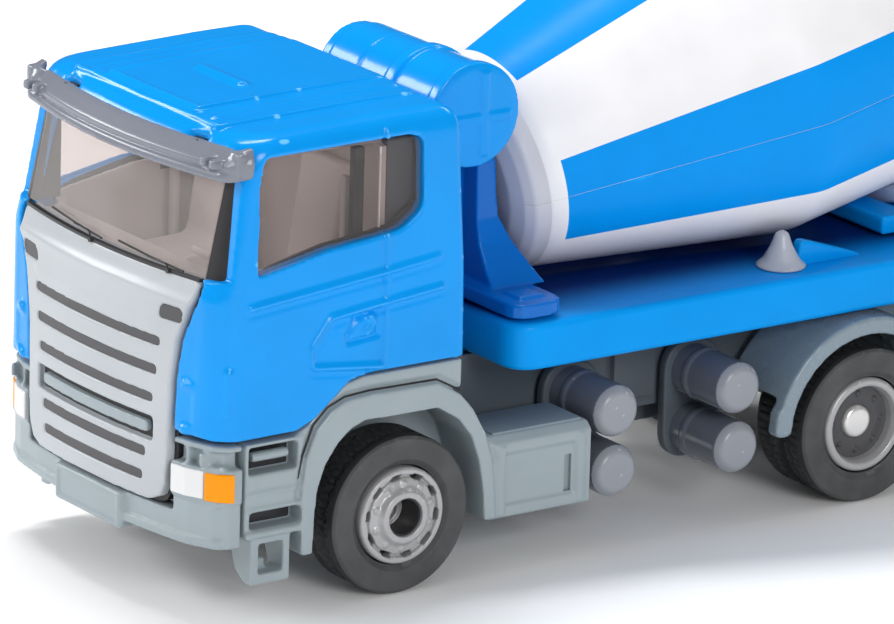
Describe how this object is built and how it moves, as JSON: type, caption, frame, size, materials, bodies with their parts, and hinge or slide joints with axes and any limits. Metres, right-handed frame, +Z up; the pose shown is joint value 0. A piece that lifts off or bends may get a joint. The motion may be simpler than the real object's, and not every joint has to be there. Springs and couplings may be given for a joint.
{
  "type": "toy cement mixer",
  "caption": "Toy cement mixer truck with a glazed cab, a tilted striped drum that turns, a water tank, a loading hopper, a swinging discharge chute and rolling wheels.",
  "frame": {"origin": "on the ground under the middle of the truck's length and width", "axes": "+Z up, -Y the way the cab looks, +X to the truck's left"},
  "size_m": [0.0312, 0.1048, 0.0501],
  "materials": {
    "cab_paint": "glossy sprayed blue paint",
    "deck_plastic": "glossy blue moulding",
    "drum_plastic": "white moulding with printed blue stripes",
    "grille_paint": "silver-grey moulding with dark printed slots",
    "visor_plastic": "milky grey moulding",
    "chassis_plastic": "satin blue-grey moulding",
    "air_tank_plastic": "smooth violet-grey moulding",
    "cabin_plastic": "dark moulding",
    "window_tint": "smoke-tinted clear moulding",
    "hub_paint": "silver-grey",
    "tyre_rubber": "matt black",
    "steel": "bright drawn wire and rivets"
  },
  "bodies": {
    "truck": {"cab_shell": "cab_paint", "cab_glazing": "window_tint", "sun_visor": "visor_plastic", "grille_panel": "grille_paint", "cab_interior": "cabin_plastic", "seat_left": "cabin_plastic", "seat_right": "cabin_plastic", "steering_wheel": "cabin_plastic", "chassis_frame": "chassis_plastic", "base_plate": "chassis_plastic", "front_bumper": "chassis_plastic", "rear_bumper": "chassis_plastic", "side_fairing_left": "chassis_plastic", "side_fairing_right": "chassis_plastic", "rear_fender_left": "chassis_plastic", "rear_fender_right": "chassis_plastic", "access_ladder": "chassis_plastic", "loading_hopper": "chassis_plastic", "air_tanks_front_left": "air_tank_plastic", "air_tanks_front_right": "air_tank_plastic", "air_tanks_rear_left": "air_tank_plastic", "air_tanks_rear_right": "air_tank_plastic", "mixer_deck": "deck_plastic", "drum_tower": "deck_plastic", "water_tank": "deck_plastic", "drum_cradle": "deck_plastic", "rivet_1": "steel", "rivet_2": "steel", "drum_pin": "steel", "chute_pin": "steel"},
    "front_wheels": {"axle_front": "steel", "hub_front_left": "hub_paint", "hub_front_right": "hub_paint", "tyre_front_left": "tyre_rubber", "tyre_front_right": "tyre_rubber"},
    "rear_1_wheels": {"axle_rear_1": "steel", "hub_rear_1_left": "hub_paint", "hub_rear_1_right": "hub_paint", "tyre_rear_1_left": "tyre_rubber", "tyre_rear_1_right": "tyre_rubber"},
    "rear_2_wheels": {"axle_rear_2": "steel", "hub_rear_2_left": "hub_paint", "hub_rear_2_right": "hub_paint", "tyre_rear_2_left": "tyre_rubber", "tyre_rear_2_right": "tyre_rubber"},
    "drum": {"drum_shell_upper": "drum_plastic", "drum_shell_lower": "drum_plastic", "drum_ring": "drum_plastic"},
    "chute": {"chute_bracket": "chassis_plastic", "chute_trough": "chassis_plastic"}
  },
  "joints": [
    {"name": "front_axle_roll", "type": "hinge", "parent": "truck", "child": "front_wheels", "pos_m": [0, -0.03375, 0.0061], "axis": [1, 0, 0], "continuous": true},
    {"name": "rear_1_axle_roll", "type": "hinge", "parent": "truck", "child": "rear_1_wheels", "pos_m": [0, 0.00965, 0.0061], "axis": [1, 0, 0], "continuous": true},
    {"name": "rear_2_axle_roll", "type": "hinge", "parent": "truck", "child": "rear_2_wheels", "pos_m": [0, 0.02515, 0.0061], "axis": [1, 0, 0], "continuous": true},
    {"name": "drum_spin", "type": "hinge", "parent": "truck", "child": "drum", "pos_m": [0, -0.01548, 0.02741], "axis": [0, 0.9736, 0.2284], "continuous": true},
    {"name": "chute_swing", "type": "hinge", "parent": "truck", "child": "chute", "pos_m": [0, 0.03945, 0.0265], "axis": [0, 0, 1], "range_deg": [-60, 60]}
  ]
}
